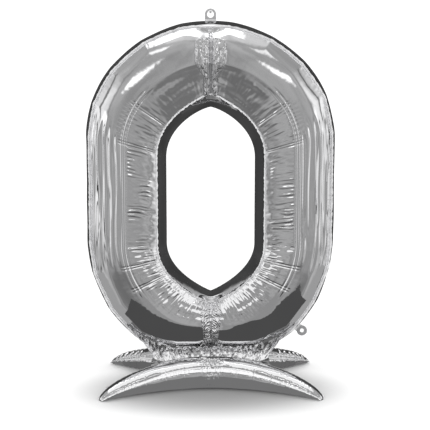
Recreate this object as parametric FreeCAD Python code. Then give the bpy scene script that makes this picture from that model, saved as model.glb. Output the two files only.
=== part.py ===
import FreeCAD, Part
import math
import os

os.makedirs("parts", exist_ok=True)

# A foil number "0" that stands on its own inflated base, in millimetres.
# +Z is up, the floor is z = 0, the number faces -Y and the origin is on the
# floor under the middle of the number.
#
# The number is one air chamber made of four films: a front panel, a back
# panel, a strip round the outside and a strip round the hole.  The base is
# two crescent cushions back to back, tied together under the number.

# ---------------------------------------------------------------- dimensions
FILM = 1.0                  # wall of every film, thicker than the real film
GAP = 0.35                  # clear space between neighbouring pieces
SEAM_WIDTH = 7.0            # free rim of a heat-sealed seam
SEAM_THICK = 1.0

RING_HALF_WIDTH = 424.0     # outside of the number
RING_SIDE_LOW = 512.0       # the straight sides run between these heights
RING_SIDE_HIGH = 854.0
RING_CROWN_RISE = 390.0
RING_BOTTOM_DROP = 456.0
RING_REST_Z = 105.0         # the underside is pressed flat above the base
RING_REST_BLEND = 16.0

HOLE_HALF_WIDTH = 151.0     # the hole through the number
HOLE_TOP_POWER = 1.5        # roundness of the hole's ends
HOLE_BOTTOM_POWER = 1.8
HOLE_SIDE_LOW = 493.0
HOLE_SIDE_HIGH = 785.0
HOLE_TOP_RISE = 172.0
HOLE_BOTTOM_DROP = 170.0

DEPTH_SIDE = 120.0          # half the front-to-back size of the chamber
DEPTH_BOTTOM = 100.0
DART_DEPTH = 18.0           # how far a centre dart pulls the film in
DART_SPREAD = 38.0
DART_WIDTH = 7.0

OUTER_SEAM_ANGLE = 30.0     # seam position round the tube, from its rim
HOLE_SEAM_ANGLE = 40.0

TAB_HALF_WIDTH = 19.0
TAB_CENTRE_Z = 1266.0
TAB_HINGE_Z = 1247.0
TAB_HOLE_R = 11.5
TONGUE_WIDTH = 8.0
TONGUE_HINGE_Z = 1278.1
TONGUE_END_Z = 1269.0

EYELET_ANGLE = 44.3         # place of the side eyelet on the lower right curve
EYELET_R = 18.0
EYELET_OFFSET = 22.0
EYELET_HOLE_R = 7.0

FOOT_REACH = 365.0          # half the span of a crescent cushion
FOOT_CENTRE_Y = 79.0
FOOT_TIP_Y = 222.0
FOOT_HALF_WIDTH = 51.0
FOOT_HALF_HEIGHT = 53.0
FOOT_TAPER = 0.6
FOOT_TIP_WIDTH = 7.0
FOOT_TIP_HEIGHT = 1.7
FOOT_SEAM_ANGLE = 29.0
TIP_LIFT = 0.6              # keeps the seam rims at the tips off the floor

SKIRT_CLEAR = 10.0          # the number rocks inside the skirts
WEB_REACH = 0.52

VALVE_FILM = 0.6
VALVE_GAP = 0.5
VALVE_WIDTH = 26.0
VALVE_LENGTH = 95.0
FOOT_VALVE_WIDTH = 20.0
FOOT_VALVE_LENGTH = 34.0
TAIL_WIDTH = 24.0
TAIL_LENGTH = 38.0
FOOT_TAIL_WIDTH = 18.0
FOOT_TAIL_LENGTH = 30.0
FRONT_VALVE_AT = 0.86       # share of the reach, on the left
REAR_VALVE_AT = 0.50
TAIL_DROOP = 0.35
TAIL_GAP = 1.1              # from the seam's edge to the tail's hinge line

ORIGIN = FreeCAD.Vector(0, 0, 0)
X_AXIS = FreeCAD.Vector(1, 0, 0)
Y_AXIS = FreeCAD.Vector(0, 1, 0)
Z_AXIS = FreeCAD.Vector(0, 0, 1)


# ------------------------------------------------------------------- helpers
def vec(x, y, z):
    """A point or direction."""
    return FreeCAD.Vector(x, y, z)


def unit(v):
    """The same direction with length one."""
    return v * (1.0 / v.Length)


def spread(a, b, count):
    """Evenly spaced numbers from a to b."""
    return [a + (b - a) * i / (count - 1.0) for i in range(count)]


def surface(rows):
    """A smooth surface through a grid of points."""
    patch = Part.BSplineSurface()
    patch.interpolate(rows)
    return patch


def curve(points):
    """A smooth edge through a row of points."""
    line = Part.BSplineCurve()
    line.interpolate(points)
    return line.toShape()


def mirrored(shape, normal):
    """The shape's mirror image in the plane through the origin."""
    return shape.mirror(ORIGIN, normal)


def close_up(faces):
    """One closed solid from faces that meet edge to edge."""
    skin = Part.makeCompound(faces)
    skin.sewShape()
    body = Part.Solid(skin.Shells[0])
    if body.Volume < 0:
        body.reverse()
    return body


def film(outer_rows, inner_rows, both_sides):
    """A wall between two grids.  Rows run along the piece.  With both_sides
    the first row lies on x = 0 and the mirror image joins on there."""
    outer = surface(outer_rows)
    inner = surface(inner_rows)
    u0, u1, v0, v1 = outer.bounds()
    p0, p1, q0, q1 = inner.bounds()
    faces = [outer.toShape(), inner.toShape()]
    for a, b in ((v0, q0), (v1, q1)):
        faces.append(Part.makeRuledSurface(outer.vIso(a).toShape(), inner.vIso(b).toShape()))
    far_end = Part.makeRuledSurface(outer.uIso(u1).toShape(), inner.uIso(p1).toShape())
    near_end = Part.makeRuledSurface(outer.uIso(u0).toShape(), inner.uIso(p0).toShape())
    if abs(outer_rows[-1][0].x) > 0.01:
        faces.append(far_end)
    if not both_sides:
        faces.append(near_end)
        return close_up(faces)
    faces += [mirrored(f, X_AXIS) for f in faces]
    return close_up(faces)


def bar(corner_rows, both_sides):
    """A bar with flat sides.  Each entry of corner_rows holds the corners of
    the section at one station."""
    count = len(corner_rows[0])
    edges = [curve([row[k] for row in corner_rows]) for k in range(count)]
    faces = []
    for k in range(count):
        faces.append(Part.makeRuledSurface(edges[k], edges[(k + 1) % count]))
    ends = []
    if abs(corner_rows[-1][0].x) > 0.01:
        ends.append(corner_rows[-1])
    if not both_sides:
        ends.append(corner_rows[0])
    for row in ends:
        faces.append(Part.makeRuledSurface(Part.makeLine(row[0], row[1]), Part.makeLine(row[3], row[2])))
    if both_sides:
        faces += [mirrored(f, X_AXIS) for f in faces]
    return close_up(faces)


def oriented_box(start, along, across, length, width, thick, lift):
    """A flat strip that leaves `start` in the direction `along`."""
    normal = unit(along.cross(across))
    box = Part.makeBox(length, width, thick, vec(0, -width / 2.0, lift - thick / 2.0))
    m = FreeCAD.Matrix(
        along.x, across.x, normal.x, start.x,
        along.y, across.y, normal.y, start.y,
        along.z, across.z, normal.z, start.z,
        0, 0, 0, 1)
    box.Placement = FreeCAD.Placement(m)
    return box


def smooth_step(t):
    """Zero to one with level ends."""
    t = min(max(t, 0.0), 1.0)
    return t * t * (3.0 - 2.0 * t)


# ---------------------------------------------------------------- the number
LOW_SHARE = 0.38
HIGH_SHARE = 0.62
STATIONS = spread(0.0, LOW_SHARE, 23) + spread(LOW_SHARE, HIGH_SHARE, 9)[1:] + spread(HIGH_SHARE, 1.0, 23)[1:]


def stage(s):
    """Angle and height share for a station: the bottom curve, the straight
    side, then the top curve."""
    if s < LOW_SHARE:
        return -math.pi / 2 * (1.0 - s / LOW_SHARE), 0.0
    if s > HIGH_SHARE:
        return math.pi / 2 * (s - HIGH_SHARE) / (1.0 - HIGH_SHARE), 1.0
    return 0.0, (s - LOW_SHARE) / (HIGH_SHARE - LOW_SHARE)


def rim(s):
    """The number's outside edge for s from the bottom centre to the top."""
    a, share = stage(s)
    x = RING_HALF_WIDTH * max(math.cos(a), 0.0)
    z = RING_SIDE_LOW + (RING_SIDE_HIGH - RING_SIDE_LOW) * share
    if a < 0:
        z += RING_BOTTOM_DROP * math.sin(a)
        over = z - RING_REST_Z
        z = RING_REST_Z + 0.5 * (over + math.sqrt(over * over + 4.0 * RING_REST_BLEND ** 2))
    else:
        z += RING_CROWN_RISE * math.sin(a)
    if s in (0.0, 1.0):
        x = 0.0
    return x, z


def hole(s):
    """The hole's edge: straight sides and a blunt point at each end."""
    a, share = stage(s)
    x = HOLE_HALF_WIDTH * max(math.cos(a), 0.0) ** (HOLE_BOTTOM_POWER if a < 0 else HOLE_TOP_POWER)
    z = HOLE_SIDE_LOW + (HOLE_SIDE_HIGH - HOLE_SIDE_LOW) * share
    rise = abs(math.sin(a)) ** 0.96
    if a < 0:
        z -= HOLE_BOTTOM_DROP * rise
    else:
        z += HOLE_TOP_RISE * rise
    if s in (0.0, 1.0):
        x = 0.0
    return x, z


def tube(s, turn, lift):
    """A point of the chamber's skin.  `turn` is 0 at the rim, 90 at the
    front, 180 at the hole and 270 at the back; `lift` is along the normal."""
    ox, oz = rim(s)
    ix, iz = hole(s)
    half = 0.5 * math.hypot(ox - ix, oz - iz)
    nx = (ox - ix) / (2.0 * half)
    nz = (oz - iz) / (2.0 * half)
    mx = 0.5 * (ox + ix)
    mz = 0.5 * (oz + iz)
    deep = DEPTH_BOTTOM + (DEPTH_SIDE - DEPTH_BOTTOM) * smooth_step((mz - 215.0) / 280.0)
    deep -= DART_DEPTH * math.exp(-(mx / DART_SPREAD) ** 2)
    a = math.radians(turn)
    c = math.cos(a)
    d = math.sin(a)
    gx = c / half
    gy = d / deep
    g = math.hypot(gx, gy)
    radial = half * c + lift * gx / g
    front = deep * d + lift * gy / g
    return vec(mx + nx * radial, -front, mz + nz * radial)


def tube_frame(s, turn):
    """Surface point, outward normal and direction along the ring."""
    here = tube(s, turn, 0.0)
    out = unit(tube(s, turn, 1.0) - here)
    along = tube(min(s + 0.002, 1.0), turn, 0.0) - tube(max(s - 0.002, 0.0), turn, 0.0)
    along = along - out * along.dot(out)
    return here, out, unit(along)


def ring_film(turn_a, turn_b, across):
    """A film that runs right round the number between two seams."""
    edge = math.degrees(GAP / 120.0)
    turns = spread(turn_a + edge, turn_b - edge, across)
    outer = [[tube(s, t, 0.0) for t in turns] for s in STATIONS]
    inner = [[tube(s, t, -FILM) for t in turns] for s in STATIONS]
    return film(outer, inner, True)


def ring_seam(turn):
    """The free rim of a heat-sealed seam, standing out from the skin."""
    half = math.degrees(0.5 * SEAM_THICK / 120.0)
    rows = []
    for s in STATIONS:
        a = tube(s, turn - half, GAP)
        b = tube(s, turn + half, GAP)
        c = tube(s, turn + half, GAP + SEAM_WIDTH)
        d = tube(s, turn - half, GAP + SEAM_WIDTH)
        rows.append([a, b, c, d])
    return bar(rows, True)


def dart(s, turn_a, turn_b):
    """The fused fold down the middle of a panel, as a strip on the skin."""
    turns = spread(turn_a, turn_b, 21)
    half = DART_WIDTH / 2.0
    rows = []
    for t in turns:
        low = tube(s, t, GAP + 0.6)
        high = tube(s, t, GAP + 0.6 + FILM)
        rows.append([low - X_AXIS * half, low + X_AXIS * half, high + X_AXIS * half, high - X_AXIS * half])
    return bar(rows, False)


front_panel = ring_film(OUTER_SEAM_ANGLE, 180.0 - HOLE_SEAM_ANGLE, 11)
back_panel = ring_film(180.0 + HOLE_SEAM_ANGLE, 360.0 - OUTER_SEAM_ANGLE, 11)
rim_strip = ring_film(-OUTER_SEAM_ANGLE, OUTER_SEAM_ANGLE, 7)
hole_strip = ring_film(180.0 - HOLE_SEAM_ANGLE, 180.0 + HOLE_SEAM_ANGLE, 7)

front_rim_seam = ring_seam(OUTER_SEAM_ANGLE)
back_rim_seam = ring_seam(-OUTER_SEAM_ANGLE)
front_hole_seam = ring_seam(180.0 - HOLE_SEAM_ANGLE)
back_hole_seam = ring_seam(180.0 + HOLE_SEAM_ANGLE)

front_top_dart = dart(1.0, OUTER_SEAM_ANGLE + 3.0, 177.0 - HOLE_SEAM_ANGLE)
front_bottom_dart = dart(0.0, OUTER_SEAM_ANGLE + 3.0, 177.0 - HOLE_SEAM_ANGLE)
back_top_dart = dart(1.0, 183.0 + HOLE_SEAM_ANGLE, 357.0 - OUTER_SEAM_ANGLE)
back_bottom_dart = dart(0.0, 183.0 + HOLE_SEAM_ANGLE, 357.0 - OUTER_SEAM_ANGLE)


# ------------------------------------------------------------------ the tabs
def plate(face, thick):
    """A flat film tab, centred on the face's plane."""
    body = face.extrude(Y_AXIS * thick)
    body.translate(Y_AXIS * (-thick / 2.0))
    return body


def tab_outline():
    """The hanging tab: straight sides and a round head."""
    w = TAB_HALF_WIDTH
    base = TAB_HINGE_Z + 0.8
    low_left = vec(-w, 0, base)
    low_right = vec(w, 0, base)
    left = vec(-w, 0, TAB_CENTRE_Z)
    right = vec(w, 0, TAB_CENTRE_Z)
    top = vec(0, 0, TAB_CENTRE_Z + w)
    head = Part.Arc(right, top, left).toShape()
    sides = [Part.makeLine(left, low_left), Part.makeLine(low_left, low_right), Part.makeLine(low_right, right)]
    return Part.Face(Part.Wire([head] + sides))


def rod(x, z, radius):
    """A cutter along Y."""
    return Part.makeCylinder(radius, 20.0, vec(x, -10.0, z), Y_AXIS)


crown_z = rim(1.0)[1]
hang_tab = plate(tab_outline(), FILM)
hang_tab = hang_tab.cut(rod(0.0, TAB_CENTRE_Z, TAB_HOLE_R))
notch_top = TONGUE_HINGE_Z + 1.0
notch_width = TONGUE_WIDTH + 1.0
notch = Part.makeBox(notch_width, 20.0, notch_top - TAB_CENTRE_Z, vec(-notch_width / 2.0, -10.0, TAB_CENTRE_Z))
hang_tab = hang_tab.cut(notch)

tongue_round = TONGUE_WIDTH / 2.0
tongue = Part.makeBox(
    TONGUE_WIDTH, FILM, TONGUE_HINGE_Z - 0.3 - TONGUE_END_Z - tongue_round,
    vec(-tongue_round, -FILM / 2.0, TONGUE_END_Z + tongue_round))
tongue_tip = Part.makeCylinder(tongue_round, FILM, vec(0, -FILM / 2.0, TONGUE_END_Z + tongue_round), Y_AXIS)
hang_tab_tongue = tongue.fuse(tongue_tip).removeSplitter()

root_low = crown_z + GAP
hang_tab_root = Part.makeBox(
    2.0 * TAB_HALF_WIDTH, FILM, TAB_HINGE_Z - 0.8 - root_low,
    vec(-TAB_HALF_WIDTH, -FILM / 2.0, root_low))

eyelet_turn = math.radians(EYELET_ANGLE)
eyelet_rim = vec(
    RING_HALF_WIDTH * math.cos(eyelet_turn), 0,
    RING_SIDE_LOW - RING_BOTTOM_DROP * math.sin(eyelet_turn))
eyelet_out = unit(vec(math.cos(eyelet_turn) / RING_HALF_WIDTH, 0, -math.sin(eyelet_turn) / RING_BOTTOM_DROP))
eyelet_along = vec(-eyelet_out.z, 0, eyelet_out.x)
eyelet_centre = eyelet_rim + eyelet_out * EYELET_OFFSET
eyelet_foot = eyelet_rim + eyelet_out * 5.0


def eyelet():
    """The side tab: a round head on a short neck, with a hole."""
    head = Part.makeCylinder(EYELET_R, FILM, eyelet_centre - Y_AXIS * (FILM / 2.0), Y_AXIS)
    neck = oriented_box(
        eyelet_foot, eyelet_out, eyelet_along, EYELET_OFFSET - 5.0, 2.0 * EYELET_R - 8.0, FILM, 0.0)
    trim = oriented_box(eyelet_foot, eyelet_out * -1.0, eyelet_along, 30.0, 60.0, 10.0, 0.0)
    body = head.fuse(neck).cut(trim).removeSplitter()
    return body.cut(rod(eyelet_centre.x, eyelet_centre.z, EYELET_HOLE_R))


side_tab = eyelet()
side_tab_root = oriented_box(
    eyelet_rim + eyelet_out * 1.6, eyelet_out, eyelet_along, 2.2, 2.0 * EYELET_R - 8.0, FILM, 0.0)


# ------------------------------------------------------------------ the base
def foot_section(u):
    """Centre, outward direction and half sizes of a cushion at share u of
    its reach.  Outward is away from the number."""
    x = FOOT_REACH * u
    y = -(FOOT_CENTRE_Y + (FOOT_TIP_Y - FOOT_CENTRE_Y) * u * u)
    slope = -2.0 * (FOOT_TIP_Y - FOOT_CENTRE_Y) * u / FOOT_REACH
    out = unit(vec(slope, -1.0, 0))
    taper = max(1.0 - u * u, 0.0) ** FOOT_TAPER
    wide = FOOT_HALF_WIDTH * taper + FOOT_TIP_WIDTH * u * u
    high = FOOT_HALF_HEIGHT * taper + FOOT_TIP_HEIGHT * u * u
    return vec(x, y, high + TIP_LIFT * u * u), out, wide, high


def cushion(u, turn, lift):
    """A point of the front cushion's skin: 0 outward, 90 on top, 180 inward
    and 270 on the floor."""
    centre, out, wide, high = foot_section(u)
    a = math.radians(turn)
    gx = math.cos(a) / wide
    gz = math.sin(a) / high
    g = math.hypot(gx, gz)
    level = wide * math.cos(a) + lift * gx / g
    up = high * math.sin(a) + lift * gz / g
    return centre + out * level + Z_AXIS * up


def cushion_frame(u, turn):
    """Surface point, outward normal and direction along the cushion."""
    here = cushion(u, turn, 0.0)
    out = unit(cushion(u, turn, 1.0) - here)
    along = cushion(u + 0.002, turn, 0.0) - cushion(u - 0.002, turn, 0.0)
    along = along - out * along.dot(out)
    return here, out, unit(along)


def seam_turn(u):
    """The seam climbs towards the middle of the cushion."""
    return FOOT_SEAM_ANGLE * (1.0 - u * u)


FOOT_STATIONS = [math.sin(math.pi / 2 * q) for q in spread(0.0, 1.0, 25)]


def foot_film(top):
    """The upper or the lower film of the front cushion."""
    outer = []
    inner = []
    for u in FOOT_STATIONS:
        wide = foot_section(u)[2]
        edge = math.degrees(GAP / wide)
        seam = seam_turn(u)
        if top:
            turns = spread(seam + edge, 180.0 - seam - edge, 11)
        else:
            turns = spread(180.0 - seam + edge, 360.0 + seam - edge, 15)
        outer.append([cushion(u, t, 0.0) for t in turns])
        inner.append([cushion(u, t, -FILM) for t in turns])
    return film(outer, inner, True)


def foot_seam(inward):
    """The seam rim on one side of the front cushion."""
    rows = []
    for u in FOOT_STATIONS:
        wide = foot_section(u)[2]
        half = min(math.degrees(0.5 * SEAM_THICK / wide), 4.0)
        turn = seam_turn(u)
        if inward:
            turn = 180.0 - turn
        a = cushion(u, turn - half, GAP)
        b = cushion(u, turn + half, GAP)
        c = cushion(u, turn + half, GAP + SEAM_WIDTH)
        d = cushion(u, turn - half, GAP + SEAM_WIDTH)
        rows.append([a, b, c, d])
    return bar(rows, True)


def skirt():
    """The gathered film from the front cushion's crest up to the number.
    Its ends run up the number's lower curve as narrow strips."""
    rows = []
    for q in spread(0.0, 1.0, 25):
        s = 0.20 * q
        high = tube(s, 50.0 - 10.0 * q, SKIRT_CLEAR)
        ahead = tube(s + 0.005, 50.0 - 10.0 * q, SKIRT_CLEAR)
        share = min(q / 0.7, 1.0)
        foot = cushion(0.5 * share, 92.0 + 20.0 * share, GAP + 0.7)
        rise = 0.90 * smooth_step((q - 0.55) / 0.45)
        low = foot * (1.0 - rise) + high * rise
        normal = unit((low - high).cross(ahead - high))
        if q == 0.0:
            normal = unit(vec(0, normal.y, normal.z))
        step = normal * (FILM / 2.0)
        rows.append([low - step, low + step, high + step, high - step])
    return bar(rows, True)


def centre_web():
    """The flat film under the number that ties the two cushions together."""
    rows = []
    for q in spread(0.0, 1.0, 13):
        u = WEB_REACH * q
        edge = cushion(u, 180.0 - seam_turn(u), GAP + SEAM_WIDTH + 0.6)
        z = edge.z
        low = z - FILM / 2.0
        high = z + FILM / 2.0
        rows.append([vec(edge.x, edge.y, low), vec(edge.x, -edge.y, low),
                     vec(edge.x, -edge.y, high), vec(edge.x, edge.y, high)])
    return bar(rows, True)


front_foot_top = foot_film(True)
front_foot_bottom = foot_film(False)
front_foot_outer_seam = foot_seam(False)
front_foot_inner_seam = foot_seam(True)
front_skirt = skirt()

rear_foot_top = mirrored(front_foot_top, Y_AXIS)
rear_foot_bottom = mirrored(front_foot_bottom, Y_AXIS)
rear_foot_outer_seam = mirrored(front_foot_outer_seam, Y_AXIS)
rear_foot_inner_seam = mirrored(front_foot_inner_seam, Y_AXIS)
rear_skirt = mirrored(front_skirt, Y_AXIS)
web = centre_web()


# ---------------------------------------------------------------- the valves
def flip(v, normal):
    """A vector's mirror image."""
    return v - normal * (2.0 * v.dot(normal))


def valve(seam, into, across, length, width):
    """The two films of a self-sealing valve, flat and side by side."""
    start = seam + into * 3.0
    lift = 0.5 * (VALVE_FILM + VALVE_GAP)
    return [oriented_box(start, into, across, length, width, VALVE_FILM, side * lift) for side in (-1.0, 1.0)]


def tail(seam, out, lean, across, length, width):
    """The filling tail outside the seam rim; it leaves in direction lean."""
    start = seam + out * (GAP + SEAM_WIDTH) + lean * (2.0 * TAIL_GAP)
    return oriented_box(start, lean, across, length, width, FILM, 0.0)


number_seam, number_out, number_along = tube_frame(0.30, -OUTER_SEAM_ANGLE)
number_seam = flip(number_seam, X_AXIS)
number_out = flip(number_out, X_AXIS)
number_along = flip(number_along, X_AXIS)
number_lean = number_out * 0.35 + Y_AXIS * 0.94
number_lean = unit(number_lean - number_along * number_lean.dot(number_along))
number_valve = valve(number_seam, number_out * -1.0, number_along, VALVE_LENGTH, VALVE_WIDTH)
number_valve_tail = tail(number_seam, number_out, number_lean, number_along, TAIL_LENGTH, TAIL_WIDTH)



def drooping(out, along):
    """The direction of a tail that hangs a little, square to the seam."""
    lean = vec(out.x, out.y, -TAIL_DROOP)
    return unit(lean - along * lean.dot(along))


front_seam, front_out, front_along = cushion_frame(-FRONT_VALVE_AT, 180.0 - seam_turn(FRONT_VALVE_AT))
front_lean = drooping(front_out, front_along)
front_valve = valve(front_seam, front_out * -1.0, front_along, FOOT_VALVE_LENGTH, FOOT_VALVE_WIDTH)
front_foot_tail = tail(front_seam, front_out, front_lean, front_along, FOOT_TAIL_LENGTH, FOOT_TAIL_WIDTH)

rear_seam, rear_out, rear_along = cushion_frame(-REAR_VALVE_AT, seam_turn(REAR_VALVE_AT))
rear_seam = flip(rear_seam, Y_AXIS)
rear_out = flip(rear_out, Y_AXIS)
rear_along = flip(rear_along, Y_AXIS)
rear_lean = drooping(rear_out, rear_along)
rear_valve = valve(rear_seam, rear_out * -1.0, rear_along, FOOT_VALVE_LENGTH, FOOT_VALVE_WIDTH)
rear_foot_tail = tail(rear_seam, rear_out, rear_lean, rear_along, FOOT_TAIL_LENGTH, FOOT_TAIL_WIDTH)


# -------------------------------------------------------------------- export
NODES = {
    "front_panel": front_panel,
    "back_panel": back_panel,
    "rim_strip": rim_strip,
    "hole_strip": hole_strip,
    "front_rim_seam": front_rim_seam,
    "back_rim_seam": back_rim_seam,
    "front_hole_seam": front_hole_seam,
    "back_hole_seam": back_hole_seam,
    "front_top_dart": front_top_dart,
    "front_bottom_dart": front_bottom_dart,
    "back_top_dart": back_top_dart,
    "back_bottom_dart": back_bottom_dart,
    "hang_tab_root": hang_tab_root,
    "hang_tab": hang_tab,
    "hang_tab_tongue": hang_tab_tongue,
    "side_tab_root": side_tab_root,
    "side_tab": side_tab,
    "number_valve_inner_film": number_valve[0],
    "number_valve_outer_film": number_valve[1],
    "number_valve_tail": number_valve_tail,
    "front_foot_top": front_foot_top,
    "front_foot_bottom": front_foot_bottom,
    "front_foot_outer_seam": front_foot_outer_seam,
    "front_foot_inner_seam": front_foot_inner_seam,
    "front_foot_valve_inner_film": front_valve[0],
    "front_foot_valve_outer_film": front_valve[1],
    "front_foot_tail": front_foot_tail,
    "rear_foot_top": rear_foot_top,
    "rear_foot_bottom": rear_foot_bottom,
    "rear_foot_outer_seam": rear_foot_outer_seam,
    "rear_foot_inner_seam": rear_foot_inner_seam,
    "rear_foot_valve_inner_film": rear_valve[0],
    "rear_foot_valve_outer_film": rear_valve[1],
    "rear_foot_tail": rear_foot_tail,
    "front_skirt": front_skirt,
    "rear_skirt": rear_skirt,
    "centre_web": web,
}

for name, shape in NODES.items():
    shape.exportStep("parts/" + name + ".step")
    box = shape.BoundBox
    print(name, shape.isValid(), len(shape.Solids), round(shape.Volume), [round(v, 1) for v in (
        box.XMin, box.YMin, box.ZMin, box.XMax, box.YMax, box.ZMax)])

print("hinge points")
print("eyelet hinge", eyelet_rim + eyelet_out * 4.4, eyelet_along, "centre", eyelet_centre)
for name, seam, out, lean, along in (
        ("number tail", number_seam, number_out, number_lean, number_along),
        ("front tail", front_seam, front_out, front_lean, front_along),
        ("rear tail", rear_seam, rear_out, rear_lean, rear_along)):
    print(name, seam + out * (GAP + SEAM_WIDTH) + lean * TAIL_GAP, along)
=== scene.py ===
# %% [markdown]
# # A silver foil zero on inflated feet
# A foil balloon is a bag of thin, mirror-bright film.  Everything that the eye reads as "foil" is
# geometry: flat film can't stretch, so wherever the inflated shape asks for less length than the
# cut film has, the spare film folds up into pleats, ripples and crumples.  This lesson inflates the
# film with a cloth simulation, adds the finer folds as computed displacement, and lights the mirror
# surface with a drawn studio, because a mirror only shows what stands around it.

# %% Load the frame
import math
import bpy
import numpy as np
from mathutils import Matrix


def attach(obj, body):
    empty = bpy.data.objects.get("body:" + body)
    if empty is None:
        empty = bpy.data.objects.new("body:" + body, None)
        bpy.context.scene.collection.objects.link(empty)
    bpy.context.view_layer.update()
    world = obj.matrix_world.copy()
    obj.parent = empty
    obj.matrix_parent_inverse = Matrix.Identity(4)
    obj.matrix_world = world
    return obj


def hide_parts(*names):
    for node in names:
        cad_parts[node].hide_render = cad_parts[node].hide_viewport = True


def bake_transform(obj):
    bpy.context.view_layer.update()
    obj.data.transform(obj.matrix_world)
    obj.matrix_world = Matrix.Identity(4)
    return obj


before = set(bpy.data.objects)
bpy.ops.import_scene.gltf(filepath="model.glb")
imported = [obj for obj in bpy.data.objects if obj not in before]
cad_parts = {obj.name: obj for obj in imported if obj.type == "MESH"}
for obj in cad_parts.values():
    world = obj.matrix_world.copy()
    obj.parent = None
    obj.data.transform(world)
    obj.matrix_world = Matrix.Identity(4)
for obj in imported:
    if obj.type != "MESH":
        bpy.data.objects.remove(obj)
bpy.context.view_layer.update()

# %% [markdown]
# ## Small numeric helpers
# Every surface below is a grid: rows run along the piece, columns across it.  A soft step and two
# kinds of noise are enough to place folds.  `waves` is smooth noise made by filtering random numbers
# in the frequency domain, so it closes on itself round a ring.  `creases` takes its absolute value,
# which turns each zero crossing into a sharp fold, the way crushed film breaks into facets.

# %% Steps and noise
def step(t, a, b):
    """Zero before a, one after b; between them 3t squared less 2t cubed, level at both ends."""
    t = np.clip((t - a) / (b - a), 0.0, 1.0)
    return t * t * (3.0 - 2.0 * t)


def bump(t, centre, width):
    """A bell of height one: e to minus the square of the distance in widths."""
    return np.exp(-((t - centre) / width) ** 2)


def waves(rows, columns, per_u, per_v, seed):
    """Smooth random waves of unit size, about per_u of them along the rows and per_v across:
    white noise kept in a soft band of frequencies, periodic both ways."""
    noise = np.fft.fft2(np.random.default_rng(seed).standard_normal((rows, columns)))
    fu = np.abs(np.fft.fftfreq(rows) * rows)[:, None] / max(per_u, 1e-6)
    fv = np.abs(np.fft.fftfreq(columns) * columns)[None, :] / max(per_v, 1e-6)
    r = np.hypot(fu, fv)
    out = np.fft.ifft2(noise * np.exp(-(r ** 2)) * r).real
    return out / out.std()


def creases(rows, columns, per_u, per_v, seed):
    """Crushed film: three sizes of folded waves, each with sharp valleys."""
    out = np.zeros((rows, columns))
    for k, size in enumerate((1.0, 0.5, 0.27)):
        out += size * np.abs(waves(rows, columns, per_u / size, per_v / size, seed + 11 * k))
    return out - out.mean()


def cubic(table, at, closed):
    """Smooth interpolation of table's first axis at fractional places, through four neighbours."""
    n = len(table)
    low = np.floor(at).astype(int)
    f = (at - low).reshape((-1,) + (1,) * (table.ndim - 1))
    p0, p1, p2, p3 = (table[(low + k) % n if closed else np.clip(low + k, 0, n - 1)]
                      for k in (-1, 0, 1, 2))
    return 0.5 * (2 * p1 + (p2 - p0) * f + (2 * p0 - 5 * p1 + 4 * p2 - p3) * f ** 2
                  + (3 * p1 - p0 - 3 * p2 + p3) * f ** 3)


def unit(v):
    """Vectors of length one: each divided by its length."""
    return v / np.maximum(np.linalg.norm(v, axis=-1, keepdims=True), 1e-12)


def grid_normals(p, closed_u, closed_v):
    """Unit normals of a grid, from its differences along and across."""
    du = np.roll(p, -1, 0) - np.roll(p, 1, 0) if closed_u else np.gradient(p, axis=0)
    dv = np.roll(p, -1, 1) - np.roll(p, 1, 1) if closed_v else np.gradient(p, axis=1)
    return unit(np.cross(du, dv))


print("noise size", waves(64, 64, 6, 6, 1).std().round(3))

# %% [markdown]
# ## From grids to closed films
# A film has two faces.  The outer face carries all the folds; the inner face is never seen, so it
# needs only a quarter of the points.  It lies a little way inside, and a row of five-sided faces
# joins each pair of outer steps to one inner step, which closes the edge.  Ends are closed the same
# way, so every film is one watertight skin.

# %% Mesh makers
def new_object(name, points, faces):
    """A smooth-shaded mesh object whose sharp film edges stay sharp."""
    mesh = bpy.data.meshes.new(name)
    mesh.from_pydata(points.reshape(-1, 3).tolist(), [], faces)
    mesh.polygons.foreach_set("use_smooth", np.ones(len(faces), bool))
    mesh.set_sharp_from_angle(angle=math.radians(70))
    mesh.update()
    obj = bpy.data.objects.new(name, mesh)
    bpy.context.scene.collection.objects.link(obj)
    return obj


def quads(n, m, closed_u, closed_v, first=0):
    """Four-sided faces of a grid of n by m points whose first point has the given index."""
    i = np.arange(n if closed_u else n - 1)[:, None]
    j = np.arange(m if closed_v else m - 1)[None, :]
    i2, j2 = (i + 1) % n, (j + 1) % m
    return first + np.stack([i * m + j, i2 * m + j, i2 * m + j2, i * m + j2], -1).reshape(-1, 4)


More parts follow.
